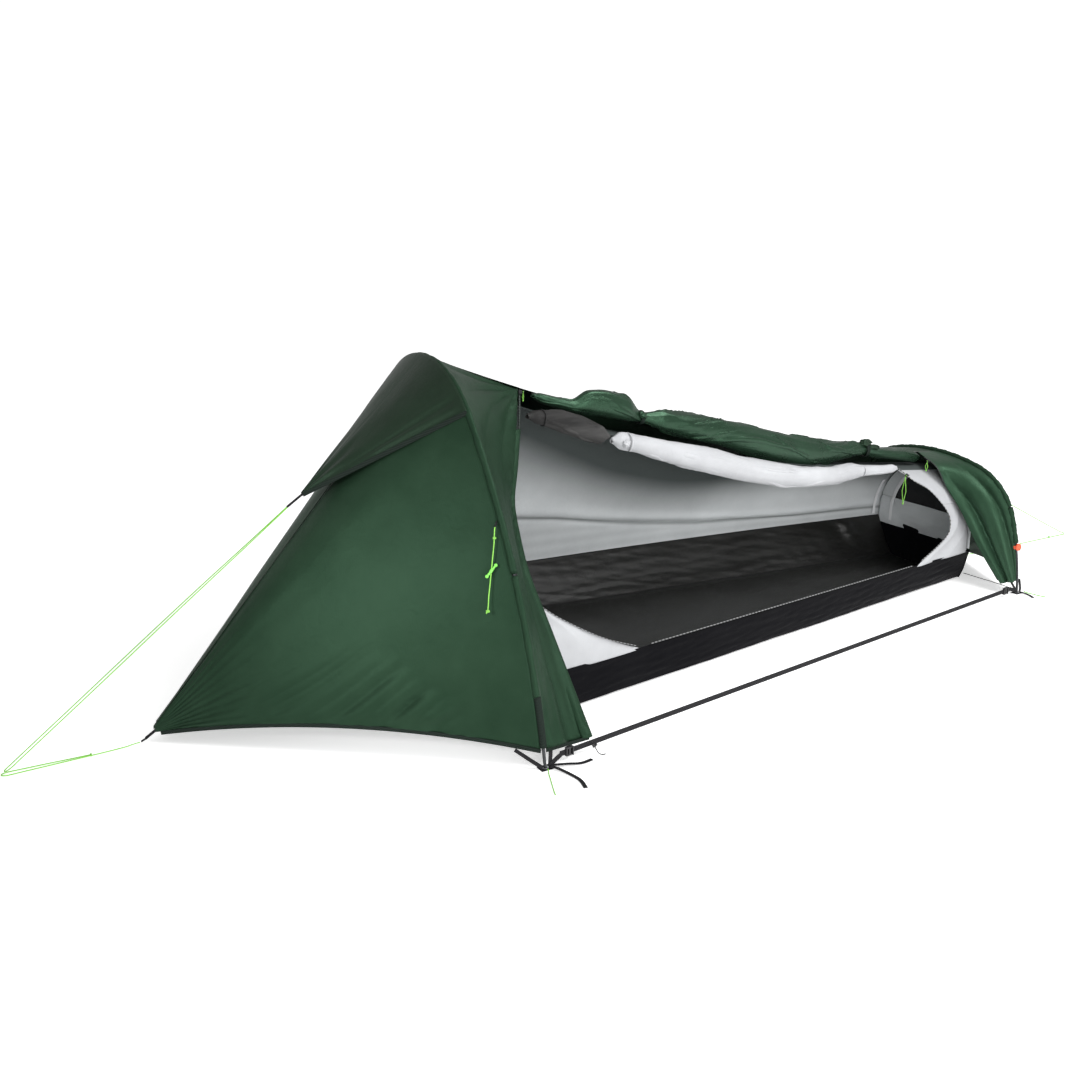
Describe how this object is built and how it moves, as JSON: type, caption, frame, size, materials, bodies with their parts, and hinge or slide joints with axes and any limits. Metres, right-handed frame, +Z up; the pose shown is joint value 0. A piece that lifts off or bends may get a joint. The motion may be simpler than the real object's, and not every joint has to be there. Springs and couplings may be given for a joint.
{
  "type": "bivy tent",
  "caption": "Low one-person bivy tent on two pole hoops, with a hooded vestibule, guylines and a long side door rolled up to show a tub-floored inner.",
  "frame": {"origin": "on the ground, under the middle of the tent without its guylines", "axes": "+X from the head end towards the foot end, -Y is the side of the rolled-up door, +Z up"},
  "size_m": [4.1546, 1.576, 0.969],
  "materials": {
    "pole": "dark grey anodised tube",
    "alloy": "turned, satin",
    "elastic": "braided black elastic",
    "fly": "dark green coated ripstop, slight sheen",
    "fly_roll": "dark green coated ripstop, rolled",
    "fly_trim": "blackish green binding and sleeve",
    "webbing": "black woven webbing",
    "tub": "black coated floor fabric, glossy",
    "inner_grey": "pale grey breathable fabric",
    "inner_white": "white breathable fabric",
    "mesh": "black insect mesh",
    "mesh_roll": "dark mesh over pale fabric, rolled",
    "zip": "grey coil zip",
    "hardware": "black moulded plastic",
    "lime": "bright lime braided cord",
    "lime_plastic": "bright lime moulded plastic",
    "disc": "orange-red moulded plastic"
  },
  "bodies": {
    "tent": {"front_pole": "pole", "rear_pole": "pole", "pole_ferrules": "alloy", "shock_cords": "elastic", "pole_tips": "alloy", "foot_eyelets": "alloy", "front_sleeve": "fly_trim", "rear_sleeve": "fly_trim", "vestibule_near": "fly", "vestibule_far": "fly", "hood": "fly", "side_panel": "fly", "far_panel": "fly", "rear_side_panel": "fly", "end_panel_near": "fly", "end_panel_far": "fly", "fly_door_roll": "fly_roll", "fly_door_ties": "fly_trim", "fly_zip_tape": "zip", "webbing_tabs": "webbing", "hem_binding": "fly_trim", "foot_webbing": "webbing", "ground_strap_near": "webbing", "ground_strap_far": "webbing", "strap_tails": "webbing", "tub_floor": "tub", "inner_far_wall": "inner_grey", "inner_head_wall": "inner_grey", "inner_foot_wall": "inner_grey", "inner_foot_mesh": "mesh", "inner_front_corner": "inner_white", "inner_rear_corner": "inner_white", "inner_mesh_roll": "mesh_roll", "inner_door_roll": "inner_white", "inner_door_ties": "inner_white", "inner_zip": "zip", "inner_hangers": "webbing", "side_line_near": "lime", "side_line_far": "lime", "front_guyline": "lime", "rear_guyline": "lime", "corner_cord": "elastic", "elastic_near": "elastic", "elastic_far": "elastic", "foot_loops": "lime", "rear_foot_line": "lime", "hook_disc": "disc"},
    "fly_slider": {"fly_zip_slider": "hardware"},
    "fly_pull": {"fly_zip_pull": "lime"},
    "fly_rear_slider": {"fly_rear_slider": "hardware"},
    "fly_rear_pull": {"fly_rear_pull": "lime"},
    "inner_slider": {"inner_zip_slider": "hardware"},
    "inner_pull": {"inner_zip_pull": "lime"},
    "tensioner_near": {"tensioner_near": "lime_plastic"},
    "tensioner_far": {"tensioner_far": "lime_plastic"},
    "lock_front_near": {"ladder_lock_front_near": "hardware"},
    "lock_front_far": {"ladder_lock_front_far": "hardware"},
    "lock_rear_near": {"ladder_lock_rear_near": "hardware"},
    "lock_rear_far": {"ladder_lock_rear_far": "hardware"},
    "cord_lock": {"cord_lock": "hardware"}
  },
  "joints": [
    {"name": "fly_slider_travel", "type": "slide", "parent": "tent", "child": "fly_slider", "axis": [-0.3303, -0.5663, -0.7551], "range_m": [0, 0.05]},
    {"name": "fly_pull_swing", "type": "hinge", "parent": "fly_slider", "child": "fly_pull", "pos_m": [-0.449, -0.0122, 0.8354], "axis": [1, 0, 0], "range_deg": [-35, 35]},
    {"name": "fly_rear_slider_travel", "type": "slide", "parent": "tent", "child": "fly_rear_slider", "axis": [-0.0746, -0.9322, -0.3542], "range_m": [-0.015, 0.03]},
    {"name": "fly_rear_pull_swing", "type": "hinge", "parent": "fly_rear_slider", "child": "fly_rear_pull", "pos_m": [1.218, -0.08, 0.4492], "axis": [1, 0, 0], "range_deg": [-50, 5]},
    {"name": "inner_slider_travel", "type": "slide", "parent": "tent", "child": "inner_slider", "axis": [0.2491, -0.8305, -0.4983], "range_m": [-0.025, 0.015]},
    {"name": "inner_pull_swing", "type": "hinge", "parent": "inner_slider", "child": "inner_pull", "pos_m": [1.0906, -0.098, 0.4154], "axis": [1, 0, 0], "range_deg": [-35, 35]},
    {"name": "tensioner_near_travel", "type": "slide", "parent": "tent", "child": "tensioner_near", "axis": [-0.2649, -0.2649, -0.9272], "range_m": [-0.014, 0.035]},
    {"name": "tensioner_far_travel", "type": "slide", "parent": "tent", "child": "tensioner_far", "axis": [-0.2649, 0.2649, -0.9272], "range_m": [-0.014, 0.035]},
    {"name": "lock_front_near_travel", "type": "slide", "parent": "tent", "child": "lock_front_near", "axis": [0.9928, 0.1196, 0], "range_m": [0, 0.1]},
    {"name": "lock_front_far_travel", "type": "slide", "parent": "tent", "child": "lock_front_far", "axis": [0.9928, -0.1196, 0], "range_m": [0, 0.1]},
    {"name": "lock_rear_near_travel", "type": "slide", "parent": "tent", "child": "lock_rear_near", "axis": [0.9928, 0.1196, 0], "range_m": [-0.1, 0]},
    {"name": "lock_rear_far_travel", "type": "slide", "parent": "tent", "child": "lock_rear_far", "axis": [0.9928, -0.1196, 0], "range_m": [-0.1, 0]},
    {"name": "cord_lock_travel", "type": "slide", "parent": "tent", "child": "cord_lock", "axis": [0.2673, -0.5345, -0.8018], "range_m": [-0.006, 0.006]}
  ]
}
